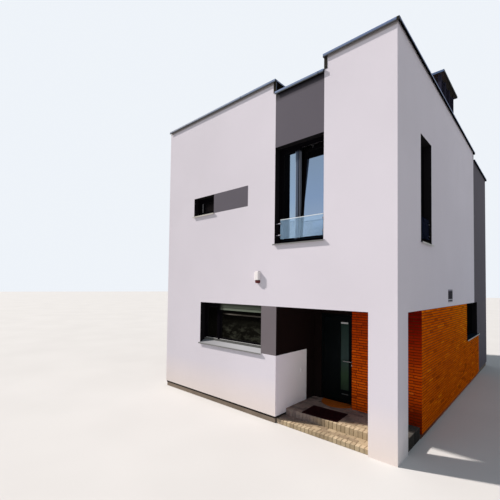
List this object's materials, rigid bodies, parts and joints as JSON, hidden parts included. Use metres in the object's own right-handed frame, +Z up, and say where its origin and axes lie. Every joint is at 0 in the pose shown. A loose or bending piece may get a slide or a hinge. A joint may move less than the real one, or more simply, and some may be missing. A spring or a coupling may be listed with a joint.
{
  "type": "modern two-storey end-of-row house",
  "caption": "Flat-roofed two-storey end-of-row house with white and grey render, brick side wall, open corner porch, tall upper windows with glass guards and a hinged front door.",
  "frame": {"origin": "centre of the outer box at ground level", "axes": "+X right along the street front, +Y back from the street front, +Z up"},
  "size_m": [6.81, 10.585, 9.56],
  "materials": {
    "concrete": "trowelled",
    "roof_felt": "mineral felt",
    "white_render": "fine textured render",
    "grey_render": "fine textured render",
    "brick": "long thin bricks, raked joints",
    "coping_metal": "coated sheet",
    "anthracite_frame": "powder coat",
    "window_glass": "clear",
    "sill_metal": "coated sheet",
    "guard_glass": "clear",
    "stainless": "brushed",
    "chimney_cladding": "coated sheet",
    "vent_metal": "powder coat",
    "white_plastic": "satin",
    "red_lens": "clear gloss",
    "mat": "ribbed",
    "paving_stone": "concrete blocks",
    "door_finish": "powder coat",
    "frosted_glass": "etched"
  },
  "bodies": {
    "house": {"foundation_slab": "concrete", "upper_floor": "concrete", "roof_deck": "roof_felt", "porch_ceiling": "white_render", "party_wall": "grey_render", "front_wall_lower": "white_render", "porch_side_wall": "white_render", "porch_wall_grey": "grey_render", "door_lintel": "grey_render", "brick_front": "brick", "brick_side": "brick", "side_wall_rear": "grey_render", "corner_column": "white_render", "front_wall_upper": "white_render", "band_inlay": "grey_render", "slot_wall": "white_render", "slot_panel": "grey_render", "front_wall_right": "white_render", "side_wall_upper": "white_render", "rear_wall": "grey_render", "coping_left": "coping_metal", "coping_right": "coping_metal", "coping_slot": "coping_metal", "coping_rear": "coping_metal", "parapet_flashings": "coping_metal", "front_window_frames": "anthracite_frame", "side_window_frames": "anthracite_frame", "rear_window_frames": "anthracite_frame", "tilted_sash": "anthracite_frame", "lower_window_glass": "window_glass", "upper_window_glass": "window_glass", "window_sills": "sill_metal", "guard_glass": "guard_glass", "guard_studs": "stainless", "chimney_stack": "chimney_cladding", "chimney_louvres": "chimney_cladding", "chimney_cap": "coping_metal", "vent_grille": "vent_metal", "alarm_siren": "white_plastic", "siren_lens": "red_lens", "bell_push": "white_plastic", "door_mats": "mat", "lower_step": "paving_stone", "entrance_platform": "paving_stone", "door_frame": "door_finish"},
    "front_door": {"door_leaf": "door_finish", "door_glass": "frosted_glass", "door_handle": "stainless"}
  },
  "joints": [
    {"name": "front_door_hinge", "type": "hinge", "parent": "house", "child": "front_door", "pos_m": [1.015, -3.5815, 1.3], "axis": [0, 0, -1], "range_deg": [0, 95]}
  ]
}
